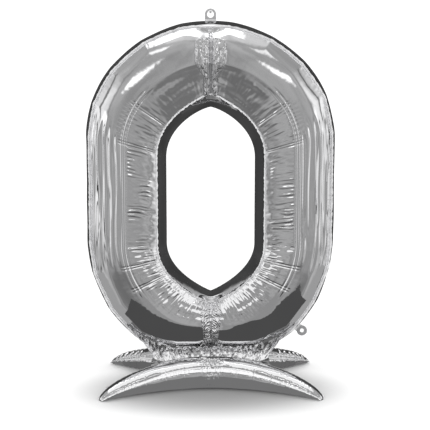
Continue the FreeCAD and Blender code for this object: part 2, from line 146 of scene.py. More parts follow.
def film(name, outer, closed_u=False, edge=0.0004, deep=0.0025, flip=False):
    """A closed film over a grid.  The inner face takes every second row and every fourth column of
    the outer one, pushed back along the normals by `edge` at the borders and `deep` inside.  The
    outer grid has an even number of rows when closed, an odd number when open, and 4k + 1 columns."""
    n, m = outer.shape[:2]
    back = grid_normals(outer, closed_u, False) * (-1.0 if flip else 1.0)
    inner = outer[::2, ::4].copy()
    a, b = inner.shape[:2]
    far = np.full((a, b), deep)
    far[:, 0] = far[:, -1] = edge
    if not closed_u:
        far[0] = far[-1] = edge
    inner -= back[::2, ::4] * far[:, :, None]
    first = n * m
    faces = quads(n, m, closed_u, False).tolist()
    faces += quads(a, b, closed_u, False, first)[:, ::-1].tolist()
    i = np.arange(a if closed_u else a - 1)
    o0, o1, o2 = 2 * i * m, (2 * i + 1) * m, ((2 * i + 2) % n) * m
    i0, i1 = first + i * b, first + ((i + 1) % a) * b
    faces += np.stack([o0, i0, i1, o2, o1], -1).tolist()
    faces += np.stack([o0 + m - 1, o1 + m - 1, o2 + m - 1, i1 + b - 1, i0 + b - 1], -1).tolist()
    if not closed_u:
        j = np.arange(b - 1)
        for row, inside, order in ((0, first, 1), ((n - 1) * m, first + (a - 1) * b, -1)):
            strip = [row + 4 * j + k for k in range(5)] + [inside + j + 1, inside + j]
            faces += np.stack(strip[::order], -1).tolist()
    if flip:
        faces = [f[::-1] for f in faces]
    return new_object(name, np.concatenate([outer.reshape(-1, 3), inner.reshape(-1, 3)]), faces)


def ribbon(name, low, high, thick, closed_u, flip=False):
    """A thin flat strip between two rows of edge points, with a rounded free edge."""
    along = np.roll(low, -1, 0) - np.roll(low, 1, 0) if closed_u else np.gradient(low, axis=0)
    side = unit(np.cross(along, high - low)) * thick / 2
    near = high * 0.93 + low * 0.07
    loop = np.stack([low - side, near - side, high, near + side, low + side], 1)
    n, m = loop.shape[:2]
    faces = quads(n, m, closed_u, True).tolist()
    if not closed_u:
        faces += [list(range(m)), list(range((n - 1) * m, n * m))[::-1]]
    if flip:
        faces = [f[::-1] for f in faces]
    return new_object(name, loop, faces)


# %% [markdown]
# ## The number's outline
# Two closed curves in the plane of the number fix everything: the rim and the hole.  The rim is two
# half ellipses joined by straight sides, pressed flat where it rests on the base.  The hole has the
# same straight sides and a blunt point at each end.  A section of the air chamber sits between a rim
# point and a hole point, so one length along the chamber's centre line places both.

# %% Outline and section
LOW, HIGH = 0.38, 0.62
RIM_SEAM, HOLE_SEAM = 30.0, 140.0
HALF_WIDTH, HOLE_HALF = 0.424, 0.151
REST_Z, SIDE_Z, SIDE_LONG, BOTTOM_DROP, TOP_RISE, EASE = 0.105, 0.512, 0.342, 0.456, 0.390, 0.016
HOLE_Z, HOLE_LONG, HOLE_DROP, HOLE_RISE = 0.493, 0.292, 0.170, 0.172


def outline(s, sign):
    """Rim and hole points for s from 0, bottom, to 1, top, on the side given by sign, in metres.
    Sides are straight from LOW to HIGH, and beyond them a turns through a quarter circle.  The
    rim's bottom is a smooth maximum of the ellipse and the level it rests on; the hole's width
    is a power of the cosine, which blunts its points."""
    a = np.where(s < LOW, -np.pi / 2 * (1 - s / LOW),
                 np.where(s > HIGH, np.pi / 2 * (s - HIGH) / (1 - HIGH), 0.0))
    share = np.clip((s - LOW) / (HIGH - LOW), 0, 1)
    c, d = np.maximum(np.cos(a), 0.0), np.sin(a)
    over = SIDE_Z + BOTTOM_DROP * d - REST_Z
    low_z = REST_Z + 0.5 * (over + np.sqrt(over ** 2 + 4 * EASE ** 2))
    rim_z = np.where(a < 0, low_z, SIDE_Z + SIDE_LONG * share + TOP_RISE * d)
    rise = np.abs(d) ** 0.96
    hole_z = np.where(a < 0, HOLE_Z - HOLE_DROP * rise,
                      HOLE_Z + HOLE_LONG * share + HOLE_RISE * rise)
    hole_x = HOLE_HALF * c ** np.where(a < 0, 1.8, 1.5) * sign
    return HALF_WIDTH * c * sign, rim_z, hole_x, hole_z


fine = np.linspace(0, 1, 6001)
fine_s = np.where(fine <= 0.5, 2 * fine, 2 - 2 * fine)
fine_side = np.where(fine <= 0.5, 1.0, -1.0)
rx, rz, hx, hz = outline(fine_s, fine_side)
lengths = np.concatenate([[0], np.cumsum(np.hypot(np.diff(rx + hx) / 2, np.diff(rz + hz) / 2))])
AROUND = lengths[-1]


def place(w):
    """s and side for lengths w along the centre line: from the bottom, up the right side and back
    down the left."""
    t = np.interp(w % AROUND, lengths, fine)
    return np.where(t <= 0.5, 2 * t, 2 - 2 * t), np.where(t <= 0.5, 1.0, -1.0)


def chamber(w, turns):
    """The smooth chamber: an oval across each place of the centre line.  turns are degrees round
    the oval, 0 at the rim, 90 at the front, 180 at the hole.  Returns points and normals."""
    ox, oz, ix, iz = outline(*place(w))
    half = 0.5 * np.hypot(ox - ix, oz - iz)[:, None]
    nx, nz = ((ox - ix)[:, None] / (2 * half), (oz - iz)[:, None] / (2 * half))
    mx, mz = (ox + ix)[:, None] / 2, (oz + iz)[:, None] / 2
    deep = 0.100 + 0.020 * step(mz, 0.215, 0.495)
    a = np.radians(turns)[None, :]
    c, d = np.cos(a), np.sin(a)
    points = np.stack([mx + nx * half * c, -deep * d, mz + nz * half * c], -1)
    return points, unit(np.stack([nx * c / half, -d / deep + 0 * nx, nz * c / half], -1))


print("centre line", round(AROUND, 3), "m")

# %% [markdown]
# ## Inflating the number
# A foil number is cut flat, so round the hole there is more film than the inflated tube has room
# for.  A cloth simulation finds how that spare film folds: the rest lengths are a few per cent longer
# on the hole side, and air pressure holds everything else out.  Starting from the smooth inflated
# shape keeps the run short.  Seeded noise of a millimetre starts the folds, so every run is the same.

# %% Run the cloth
def inflate(name, start, rest, frames, pressure, stiffness):
    """Run a closed grid as cloth under air pressure and return the settled grid; rest holds the
    unstressed places of its points."""
    n, m = start.shape[:2]
    obj = new_object("cloth_" + name, start, quads(n, m, True, True).tolist())
    obj.shape_key_add(name="start")
    key = obj.shape_key_add(name="rest")
    key.data.foreach_set("co", rest.reshape(-1).astype(np.float32))
    key.value = 0.0
    mod = obj.modifiers.new("cloth", "CLOTH")
    cloth = mod.settings
    cloth.quality = 5
    cloth.mass = 0.1
    cloth.air_damping = 2.0
    cloth.tension_stiffness = stiffness
    cloth.compression_stiffness = stiffness
    cloth.shear_stiffness = stiffness / 3
    cloth.bending_stiffness = 0.02
    cloth.bending_damping = 0.3
    cloth.use_pressure = True
    cloth.uniform_pressure_force = pressure
    cloth.effector_weights.gravity = 0.0
    cloth.rest_shape_key = key
    mod.point_cache.frame_start = 1
    mod.point_cache.frame_end = frames
    for number in range(1, frames + 1):
        bpy.context.scene.frame_set(number)
    done = obj.evaluated_get(bpy.context.evaluated_depsgraph_get())
    out = np.empty(n * m * 3, np.float32)
    done.data.vertices.foreach_get("co", out)
    bpy.context.scene.frame_set(1)
    mesh = obj.data
    bpy.data.objects.remove(obj)
    bpy.data.meshes.remove(mesh)
    print("cloth", name, n, "by", m, "points,", frames, "steps")
    return out.reshape(n, m, 3).astype(float)


# %% [markdown]
# ## Spare film
# The rest lengths say how much film was cut.  In the number's plane they grow from nothing at the
# double crease to a few per cent at the hole, and to three tenths more round the bottom; front to
# back the film is two per cent long everywhere.  The rest grid is the smooth chamber scaled up about
# its middle by that share.  Only the folds are kept from the result: the slow swelling is filtered
# out, because the smooth chamber already has it.

# %% Cut the spare film and run
SIM_U, SIM_V = 480, 120
SPARE, SPARE_DEPTH, MIDDLE_Z = 0.034, 1.02, 0.635
CLOTH_STEPS, PRESSURE, STIFFNESS = 16, 6.0, 60.0
SWELL_U, SWELL_V = 26, 5


def side_of(turns):
    """Degrees between a turn and zero, either way round: on the number, from the rim towards the
    hole, the same at the front and the back."""
    return np.abs(((turns + 180.0) % 360.0) - 180.0)


sim_turns = np.arange(SIM_V) * 360.0 / SIM_V
sim_w = np.arange(SIM_U) / SIM_U * AROUND
smooth, smooth_normal = chamber(sim_w, sim_turns)
start = smooth + smooth_normal * (0.0010 * waves(SIM_U, SIM_V, 120, 14, 3))[:, :, None]
spare = SPARE * step(side_of(sim_turns), 84, 118)[None, :]
spare = spare * (1.0 + 0.3 * step(0.36 - place(sim_w)[0], 0, 0.1)[:, None])
rest = smooth * (1.0 + spare[:, :, None])
rest[:, :, 2] -= MIDDLE_Z * spare
rest[:, :, 1] = smooth[:, :, 1] * SPARE_DEPTH
skin = inflate("number", start, rest, CLOTH_STEPS, PRESSURE, STIFFNESS)
swell = np.einsum("ijk,ijk->ij", skin - smooth, smooth_normal)
fu = np.abs(np.fft.fftfreq(SIM_U) * SIM_U)[:, None]
fv = np.abs(np.fft.fftfreq(SIM_V) * SIM_V)[None, :]
fine_share = 1 - np.exp(-(fu / SWELL_U) ** 2 - (fv / SWELL_V) ** 2)
swell = np.fft.ifft2(np.fft.fft2(swell) * fine_share).real
print("folds from the cloth", round(float(swell.std()) * 1000, 2), "mm")

# %% [markdown]
# ## Folds too fine for the cloth
# The finer folds of a real foil number follow a few rules.  A double crease runs round
# the chamber half way between rim and hole, and inside it the film lies flatter, with fine ripples
# square to the hole's edge.  Pairs of straight creases cut that band into cells.  Near the rim seam
# the film is drawn into straight runs a hand's width long, with puckers at each corner, and the long
# straight sides carry tension folds along their length.  Each rule is one term of a sum, in metres
# along the normal.  Tables of noise, made once for the whole chamber, roughen the terms.

# %% Noise tables
NOISE_U, NOISE_V = 1040, 180


def look(table, w, turns):
    """Values of a noise table, which wraps both ways, at lengths w and turns."""
    rows = cubic(table, (w % AROUND) / AROUND * len(table), True)
    return cubic(rows.T, (turns % 360.0) / 360.0 * table.shape[1], True).T


def noise(per_u, per_v, seed, crushed=False):
    """A table of waves or creases over the whole chamber."""
    return (creases if crushed else waves)(NOISE_U, NOISE_V, per_u, per_v, seed)


comb_table, comb_gate = noise(235, 5, 21), noise(30, 8, 22)
stretch_table, roll_table = noise(7, 46, 23), noise(13, 5, 24)
crush_table, streak_table = noise(110, 7, 25, True), noise(12, 26, 26)
pucker_table, fine_table = noise(210, 5, 27), noise(240, 12, 28)
print("noise tables", NOISE_U, "by", NOISE_V)

# %% [markdown]
# ## Folds beside the hole
# The film between the double crease and the hole carries most of what the eye reads as foil.  The
# cloth's own folds come first, then the flattened band, the double crease, the comb of ripples, the
# cell lines, and a crumple that belongs to the bottom of the ring.  Soft steps in s, the place along
# the ring, and in t, the degrees from the rim, say where each rule holds.

# %% Hole side
COMB = 0.0125
FLAT_LOW, FLAT_SIDE, FLAT_TOP = 0.0030, 0.0065, 0.0030
CREASE_DEEP, CELL_DEEP = 0.0035, 0.0021
CELL_PLACES, CELL_HALF = (0.637, 0.748, 0.318, 0.258), 0.0042


def hump(t, centre, half):
    """A parabola of height one at the centre, and zero from `half` away on."""
    return np.clip(1 - ((t - centre) / half) ** 2, 0, 1)


def hole_side(w, turns, x):
    """Height of the cloth's folds and of the folds between the double crease and the hole."""
    s, sign = place(w)
    s, t, ww = s[:, None], side_of(turns)[None, :], w[:, None]
    straight = 1 - step(np.abs(s - 0.5), 0.12, 0.16)
    foot = 1 - step(s, 0.33, 0.37)
    taut = step(s, 0.26, 0.42)
    off_dart = 1 - bump(np.abs(x), 0, 0.055)
    # The cloth's folds, nearly all of them between the crease and the hole.
    cloth_share = 0.28 * straight + 0.50 * (1 - straight)
    cloth_share = cloth_share * step(t, 90, 104) * (1 - step(t, 132, 142))
    cloth_share = cloth_share * (1 - 0.75 * step(s, 0.74, 0.80)) * (1 - 0.5 * foot)
    height = look(swell, w, turns) * (0.03 + cloth_share)
    # The flattened band: shallow at the bottom, deeper on the sides, deepest at the top.
    height -= FLAT_LOW * hump(t, 110, 19) * (0.35 + 0.65 * off_dart) * (1 - taut)
    height -= (FLAT_SIDE + FLAT_TOP * step(s, 0.70, 0.80)) * hump(t, 115, 25) * taut
    # The double crease.
    around = (1 - step(s, 0.76, 0.82)) * step(s, 0.22, 0.27)
    height -= CREASE_DEEP * (bump(t, 86.8, 1.1) + bump(t, 92.6, 1.1)) * around
    # Ripples square to the hole's edge, and fainter ones across the creases.
    band = step(t, 92, 97) * (1 - step(t, 124, 134))
    comb = np.sin(2 * np.pi * ww / COMB + 1.6 * look(comb_gate, w, turns))
    gate = np.clip(0.55 + 0.45 * look(comb_gate, w, turns), 0, 1.3)
    ripples = 0.8 * comb + 0.7 * look(comb_table, w, turns)
    height += (0.00024 + 0.00072 * straight) * band * gate * ripples * (1 - step(s, 0.76, 0.8))
    corner = step(s, 0.63, 0.65) * (1 - step(s, 0.735, 0.75))
    height += 0.00050 * comb * corner * step(t, 76, 81) * (1 - step(t, 93, 99))
    right = sign[:, None] > 0
    height += 0.00018 * comb * straight * step(t, 79, 82) * (1 - step(t, 84.5, 86.5)) * right
    # Cell lines: a pair of creases at each place, on both sides of the ring.
    for spot in CELL_PLACES:
        along = np.interp(spot / 2, fine, lengths)
        for centre in (along, AROUND - along):
            pair = bump(np.abs(ww - centre), CELL_HALF, 0.0020)
            height -= CELL_DEEP * pair * step(t, 80, 84) * (1 - step(t, 132, 138))
    # Crumple and streaks round the bottom, streaks again over the top.
    crumple = foot * step(t, 108, 128) * (1 - step(t, 137, 143))
    height += 0.00062 * look(crush_table, w, turns) * crumple
    height += 0.00040 * look(fine_table, w, turns) * foot * step(t, 92, 116) * (1 - step(t, 136, 142))
    streaks = look(streak_table, w, turns)
    height += 0.0007 * streaks * foot * step(t, 92, 102) * (1 - step(t, 132, 140))
    height += 0.0006 * streaks * step(s, 0.77, 0.83) * step(t, 90, 98) * (1 - step(t, 130, 140))
    return height


print("ripples every", COMB * 1000, "mm, cell lines at", len(CELL_PLACES) * 2, "places")

# %% [markdown]
# ## Folds on the rim side
# Between the rim seam and the double crease the film is pulled tight, so its folds are long and few.
# Tension lines follow the straight sides, a slow roll breaks up the reflections, and straight runs
# between the seam's tucks end in puckers.  The strip that lines the hole bows inwards as one piece.

# %% Rim side
FACET = 0.098
TENSION, ROLL = 0.0019, 0.0009
RUN_DEEP, PUCKER, LINING_DEEP = 0.0030, 0.00035, 0.0062


def folds(w, turns, x):
    """Height of all folds over the smooth chamber: the hole side's plus the rim side's rules."""
    height = hole_side(w, turns, x)
    s, t, ww = place(w)[0][:, None], side_of(turns)[None, :], w[:, None]
    level = np.abs(s - 0.5)
    straight = 1 - step(level, 0.12, 0.16)
    tension = (1 - step(level, 0.13, 0.2)) * step(t, 26, 40) * (1 - step(t, 80, 88))
    height += TENSION * look(stretch_table, w, turns) * tension
    height += ROLL * look(roll_table, w, turns) * (1 - step(t, 80, 90))
    part = (ww / FACET) % 1.0
    run = 4 * part * (1 - part)
    near_seam = (1 - step(t, 34, 62)) * (0.35 + 0.65 * step(t, 0, 28))
    height -= RUN_DEEP * run * near_seam * (1 - straight)
    tuck = 1 - step(np.minimum(part, 1 - part), 0.02, 0.16)
    beside = step(t, 25, 29.5) * (1 - step(t, 31, 46))
    height += PUCKER * look(pucker_table, w, turns) * (0.25 + tuck) * beside
    height -= LINING_DEEP * hump(t, 160, 20)
    return height


print("straight runs of", FACET * 1000, "mm")

# %% [markdown]
# ## The folded skin
# The folds move each point along the smooth chamber's normal.  The darts gather the film, so the
# skin is drawn in along the middle of the front and the back before they are laid over it.

# %% Folded skin
def skin_at(w, turns):
    """The folded skin and its smooth normals: chamber point, plus fold height times normal, less
    a bell-shaped furrow along x = 0, wider at the top than at the bottom."""
    points, normal = chamber(w, turns)
    x = points[:, :, 0]
    t = side_of(turns)[None, :]
    face = step(t, 24, 40) * (1 - step(t, 138, 156))
    upper = step(place(w)[0], 0.4, 0.6)[:, None]
    drawn = 0.011 * bump(x, 0, 0.030 + 0.006 * upper) + 0.006 * upper * bump(x, 0, 0.085)
    height = folds(w, turns, x) - drawn * face
    return points + normal * height[:, :, None], normal


test, _ = skin_at(np.linspace(0, AROUND, 200, endpoint=False), np.linspace(30, 140, 60))
print("folded skin", test.reshape(-1, 3).min(0).round(3), test.reshape(-1, 3).max(0).round(3))

# %% [markdown]
# ## The four films of the number
# The number is welded from four films: a front and a back panel, a strip round the outside and a
# strip that lines the hole.  Each film samples the same folded skin between its own two seams, so
# neighbours meet exactly.  Columns are closer together where the double crease lies.  Air holds each
# film out.

# %% Panels and strips
RING = np.arange(1040) / 1040 * AROUND
CREASE_TURN = 90.0


def columns(a, b, count):
    """Turns from a to b, 2.6 times as close together at the double crease as far from it."""
    t = np.linspace(a, b, 2001)
    weight = 1 + 1.6 * bump(side_of(t), CREASE_TURN, 9)
    total = np.concatenate([[0], np.cumsum((weight[1:] + weight[:-1]) / 2)])
    return np.interp(np.linspace(0, total[-1], count), total, t)


pieces = {}


def give(obj, body, slot, *nodes):
    """Say which body a piece rides on, whose finish it takes and which CAD nodes it stands for."""
    if body:
        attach(obj, body)
    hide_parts(*nodes)
    pieces.setdefault(slot, []).append(obj)
    return obj


for node, a, b, count in (
        ("front_panel", RIM_SEAM, HOLE_SEAM, 81),
        ("back_panel", 360 - HOLE_SEAM, 360 - RIM_SEAM, 61),
        ("rim_strip", -RIM_SEAM, RIM_SEAM, 25),
        ("hole_strip", HOLE_SEAM, 360 - HOLE_SEAM, 29)):
    shape, _ = skin_at(RING, columns(a, b, count))
    obj = give(film(node + "_film", shape, closed_u=True), "number", "foil", node)
    print(node, len(obj.data.polygons), "faces")

# %% [markdown]
# ## Heat-sealed seams
# Where two films are welded, a flange a few millimetres wide is left standing.  It is stiffer than
# the film and ripples with the puckers beside it.  Each flange is a ribbon whose foot follows the
# folded skin and whose free edge waves a little.

# %% Seam flanges
SEAM_OUT, SEAM_SWAY, SEAM_THICK, SEAM_ROOT = 0.0066, 0.0009, 0.0008, 0.0003
ripple = noise(150, 4, 31)
for node, turn in (("front_rim_seam", RIM_SEAM), ("front_hole_seam", HOLE_SEAM),
                   ("back_hole_seam", 360 - HOLE_SEAM), ("back_rim_seam", 360 - RIM_SEAM)):
    turns = np.array([turn - 1.0, turn, turn + 1.0])
    root, normal = skin_at(RING, turns)
    lean = unit(root[:, 2] - root[:, 0])
    sway = SEAM_SWAY * look(ripple, RING, np.array([turn]))
    low = root[:, 1] + normal[:, 1] * SEAM_ROOT
    high = low + normal[:, 1] * SEAM_OUT + lean * sway
    flange = ribbon(node + "_flange", low, high, SEAM_THICK, True, flip=True)
    give(flange, "number", "seam", node)
print("flanges stand", SEAM_OUT * 1000, "mm")

# %% [markdown]
# ## The crushed darts
# At the top and the bottom the film is gathered and fused into a dart, so that the tube can turn the
# corner.  The gathered film stands up as crushed lobes on both sides of a deep slit.  It could be
# sculpted, but a patch over the drawn-in panel is easier to place: its width swells and narrows, ribs
# bend across it into arches, fine spines run along it, and crushed noise roughens all of it.  Its
# border dips into the panel, so no edge shows.

# %% Dart patches
DART_HALF, DART_ROWS, DART_COLUMNS = 0.066, 121, 157
RIB, SPINE, SLIT = 4.6, 0.0105, 0.0030
TALLEST = 0.008


def dart_waves(per_u, per_v, seed):
    """Smooth waves over a dart, cut from a slightly larger table so that its borders don't match."""
    return waves(128, 160, per_u, per_v, seed)[:DART_ROWS, :DART_COLUMNS]


def dart(name, node, middle, face, wide_at, lobes, arch, deep, seed):
    """A crushed patch about the centre length `middle`, on the front (face 1) or the back (-1).
    Its height is the panel's, plus two round lobes of half width wide_at(t) with crushed noise,
    plus ribs across and spines along, less a slit down the middle.  `lobes` is how far the lobes
    swell for their width, `arch` how far the ribs bend by the border, in degrees of turn, and
    `deep` the ribs' depth."""
    w = middle + np.linspace(-DART_HALF, DART_HALF, DART_ROWS)
    t = np.linspace(RIM_SEAM + 1.5, HOLE_SEAM - 1.0, DART_COLUMNS)
    turns = t if face > 0 else 360 - t
    points, normal = chamber(w, turns)
    x = points[:, :, 0]
    base, _ = skin_at(w, turns)
    low = np.einsum("ijk,ijk->ij", base - points, normal)
    wide = wide_at(t)[None, :]
    share = np.clip(np.abs(x) / wide, 0, 1)
    inside = 1 - step(share, 0.86, 1.0)
    lobe = np.sqrt(np.clip(4 * share * (1 - share), 0, 1))
    crush = np.abs(dart_waves(5, 7, seed)) + 0.12 * dart_waves(10, 12, seed + 4)
    height = low + inside * (0.0015 + np.minimum(lobes * wide, 0.015) * lobe + 0.0018 * crush)
    bent = t + arch * share ** 1.6 + 0.8 * dart_waves(5, 5, seed + 1)
    ribs = 1 - 2 * np.abs(np.sin(np.pi * bent / RIB))
    spines = np.sin(2 * np.pi * x / SPINE + 1.2 * dart_waves(6, 4, seed + 3))
    height += inside * (deep * ribs + 0.0006 * spines * step(share, 0.1, 0.3))
    slit = np.exp(-(np.abs(x) / SLIT) ** 1.5)
    height -= np.minimum((lobes + 0.06) * wide, 0.013) * slit * inside
    height -= 0.004 * step(share, 0.88, 1.0)
    shape = points + normal * np.minimum(height, TALLEST)[:, :, None]
    shape[:, :, 0] += inside * 0.0005 * dart_waves(7, 9, seed + 2)
    shape = shape if face > 0 else shape[:, ::-1]
    return give(film(name, shape, edge=0.0003, deep=0.001), "number", "gathered_foil", node)


print("dart patches", DART_ROWS, "by", DART_COLUMNS)

# %% [markdown]
# ## Where the darts lie
# The top dart is a twisted strand that opens into two leaves and ends in a narrow stack.  The bottom
# dart is one strip that spreads towards the base.  A width for each place down the dart says so, and
# both are made twice, for the front and the back.

# %% Top and bottom darts
def top_width(t):
    """A twisted strand, then two leaves, then a narrow crushed stack."""
    return 0.009 + 0.047 * step(t, 50, 60) * (1 - step(t, 84, 114)) + 0.014 * step(t, 84, 114)


def bottom_width(t):
    """A crushed strip, a slow sine wide, that spreads towards the base."""
    return 0.033 + 0.005 * np.sin(np.radians(4 * t)) + 0.022 * (1 - step(t, 34, 56))


TOP_AT, BOTTOM_AT = AROUND / 2, 0.0
TOP_SHAPE, BOTTOM_SHAPE = (top_width, 0.30, 12.0, 0.0003), (bottom_width, 0.10, 16.0, 0.0013)
for side, face, seed in (("front", 1, 41), ("back", -1, 61)):
    dart(side + "_top_dart_crush", side + "_top_dart", TOP_AT, face, *TOP_SHAPE, seed)
    dart(side + "_bottom_dart_crush", side + "_bottom_dart", BOTTOM_AT, face,
         *BOTTOM_SHAPE, seed + 10)
print("darts", len(pieces["gathered_foil"]))

# %% [markdown]
# ## The inflated feet
# Each foot is a crescent cushion: an oval section carried along a bowed line, tapering to flat
# pointed tips.  It is welded from an upper and a lower film, so the seam runs along both sides.  A
# cloth run would need a very fine grid here, so the feet are computed from rules like the number's.

# %% Foot surface
REACH, BOW, NEAREST = 0.365, 0.143, 0.079
FOOT_ROWS = 481
foot_u = np.sin(np.pi / 2 * np.linspace(-1, 1, FOOT_ROWS))
foot_u = 0.35 * foot_u + 0.65 * np.linspace(-1, 1, FOOT_ROWS)


def foot_seam(u):
    """The turn at which the weld lies: 29 degrees in the middle, falling to zero at the tips."""
    return 29.0 * (1 - u * u)


def foot_taper(u):
    """How full the foot is: one in the middle, zero at the tips."""
    return np.maximum(1 - u * u, 0.0) ** 0.6


def cushion(u, turns, lift=0.0):
    """A point of the front foot: a bowed line of centres, an oval across it, 0 outwards, 90 on top,
    180 inwards, 270 on the floor.  u is the share of the reach; both arrays have the grid's shape."""
    x, y = REACH * u, -(NEAREST + BOW * u * u)
    out = unit(np.stack([-2 * BOW * u / REACH, -1 + 0 * u, 0 * u], -1))
    wide = 0.051 * foot_taper(u) + 0.007 * u * u
    high = 0.053 * foot_taper(u) + 0.0017 * u * u
    a = np.radians(turns)
    gx, gz = np.cos(a) / wide, np.sin(a) / high
    g = np.hypot(gx, gz)
    points = np.stack([x, y, high + 0.0006 * u * u], -1)
    points = points + out * (wide * np.cos(a) + lift * gx / g)[..., None]
    points[..., 2] += high * np.sin(a) + lift * gz / g
    return points


print("foot reach", REACH, "m each way")

# %% [markdown]
# ## Folds of the feet
# The seam is drawn into short straight runs with a tuck between them, and puckers stand beside it.
# The tips are ringed by folds, and the middle is gathered into a star where the foot is fused to the
# number's skirt.  The part that lies on the floor stays flat.

# %% Foot folds
TUCK, RING_FOLD = 0.176, 0.050


def foot_folds(u, turns, seed, rings):
    """Height of the folds on a foot: straight runs and tucks along the seams, fine puckers beside
    them, a star of creases in the middle, and ring folds towards the tips, `rings` strong."""
    seam, taper = foot_seam(u), foot_taper(u)
    rows, cols = u.shape
    near = np.minimum(side_of(turns - seam), side_of(turns - 180 + seam))
    top = np.sin(np.radians(turns)) > np.sin(np.radians(seam))
    part = ((u + 0.06 * u * u) / TUCK + 0.5) % 1.0
    # Runs, tucks, the groove beside the weld, and puckers.
    height = -0.0022 * 4 * part * (1 - part) * (1 - step(near, 6, 30)) * taper
    tuck = bump(np.minimum(part, 1 - part), 0, 0.022)
    height -= 0.0034 * tuck * (1 - step(near, 10, 28)) * taper
    height -= 0.0030 * bump(near, 6.0, 2.8) * taper
    beside = 1 - step(near, 6, 26)
    puckers = 0.00016 * waves(rows, cols, 75, 2, seed) * beside * taper
    height += puckers * (0.3 + 1.2 * bump(part, 0.5, 0.5))
    # The star in the middle.
    x, star = REACH * u, waves(rows, cols, 6, 12, seed + 1)
    middle = bump(x, 0, 0.026)
    height -= middle * (0.005 + 0.004 * np.abs(star)) * (0.6 + 0.4 * top)
    crumple = creases(rows, cols, 46, 9, seed + 2)
    height += 0.0026 * bump(x, 0, 0.034) * crumple * (0.5 + 0.5 * top)
    height += 0.0005 * waves(rows, cols, 8, 2, seed + 3) * taper
    # Rings towards the tips.
    far = np.abs(u)
    ring = np.sin(2 * np.pi * far / RING_FOLD + 0.9 * waves(rows, cols, 8, 2, seed + 4))
    ringed = step(far, 0.60, 0.70) * (1 - step(far, 0.94, 1.0))
    height -= rings * 0.0030 * np.maximum(ring, -0.2) * ringed
    height += 0.0002 * waves(rows, cols, 60, 6, seed + 5) * step(far, 0.55, 0.8) * rings * taper
    on_floor = np.sin(np.radians(turns)) < -0.8
    height = np.where(on_floor, np.maximum(height, 0.0002), height)
    return height * step(1 - far, 0.0, 0.03)


print("a tuck every", round(TUCK * REACH * 1000), "mm")

# %% [markdown]
# ## Foot films and flanges
# The upper and the lower film sample the same folded cushion from seam to seam.  The flange stands
# out from the weld and droops a little, as a stiff free edge does.

# %% Foot makers
DROOP, FOOT_SEAM_OUT = 12.0, 0.0062
FOOT_COLUMNS = 61


def foot_grid(top, seed, rings):
    """The upper or the lower film as a folded grid of the front foot, from one seam to the other."""
    u = np.repeat(foot_u[:, None], FOOT_COLUMNS, 1)
    seam = foot_seam(u) + 0.3
    share = np.linspace(0, 1, FOOT_COLUMNS)[None, :]
    if top:
        turns = seam + share * (180 - 2 * seam)
    else:
        turns = 180 - seam + 0.6 + share * (180 + 2 * seam - 1.2)
    shape = cushion(u, turns, foot_folds(u, turns, seed, rings))
    shape[:, :, 2] = np.maximum(shape[:, :, 2], 0.0)
    return shape


def foot_flange(node, inward, mirror, seed, rings):
    """A ribbon from the weld to an edge DROOP degrees lower, waving a little, above the floor."""
    u = foot_u[:, None]
    turns = 180 - foot_seam(u) if inward else foot_seam(u)
    fold = foot_folds(u, turns, seed, rings)
    low = cushion(u, turns, fold + SEAM_ROOT)[:, 0]
    droop = DROOP if inward else -DROOP
    high = cushion(u, turns + droop * (1 - u * u), fold + FOOT_SEAM_OUT)[:, 0]
    wave = 0.0007 * waves(FOOT_ROWS, 4, 90, 1, seed + 7)[:, 0]
    high[:, 2] = np.maximum(high[:, 2] + wave, 0.0007)
    low[:, 1] *= mirror
    high[:, 1] *= mirror
    return ribbon(node + "_flange", low, high, SEAM_THICK, False, flip=(mirror > 0) == inward)


# %% Both feet
for side, mirror, rings, seed in (("front", 1.0, 0.12, 80), ("rear", -1.0, 1.0, 90)):
    for name in ("top", "bottom"):
        shape = foot_grid(name == "top", seed, rings)
        shape[:, :, 1] *= mirror
        shape = shape if mirror > 0 else shape[:, ::-1]
        node = side + "_foot_" + name
        obj = give(film(node + "_film", shape, edge=0.0003, deep=0.001), "base", "foil", node)
    for name in ("outer", "inner"):
        node = side + "_foot_" + name + "_seam"
        give(foot_flange(node, name == "inner", mirror, seed, rings), "base", "seam", node)
print("feet", len(pieces["foil"]), "films so far")

# %% [markdown]
# ## How big a crumpled sheet was cut
# A crumpled grid still holds the flat size it was cut to in its edge lengths: the longest column is
# the width, the longest row the length, and the faces' areas add up to the area of the film.

# %% Flat size of a sheet
def flat_cut(shape):
    """The size a crumpled grid was cut to: its longest column and row, and its area."""
    du, dv = np.diff(shape, axis=0), np.diff(shape, axis=1)
    area = float(np.linalg.norm(np.cross(du[:, :-1], dv[:-1]), axis=2).sum())
    across = float(np.linalg.norm(dv, axis=2).sum(1).max())
    along = float(np.linalg.norm(du, axis=2).sum(0).max())
    print("flat cut", round(across, 3), "by", round(along, 3), "m, area", round(area, 4))
    return (across, along), area


# %% [markdown]
# ## Gathered skirts
# A gathered film joins each foot to the number: it leaves the foot's crest, climbs to the number, and
# its two ends run up the number's lower curve as narrow pleats.  It is a sheet of straight lines from
# one curve to the other, bowed and crumpled.  It crosses the joint where the number rocks, but rides
# on neither body: it is baked where it stands.

# %% Skirts
SKIRT_ROWS, SKIRT_COLUMNS = 361, 33


def skirt_waves(per_u, per_v, seed):
    """Smooth waves over a skirt, cut from a slightly larger table so that its borders don't match."""
    return waves(SKIRT_ROWS + 7, SKIRT_COLUMNS + 3, per_u, per_v, seed)[:SKIRT_ROWS, :SKIRT_COLUMNS]


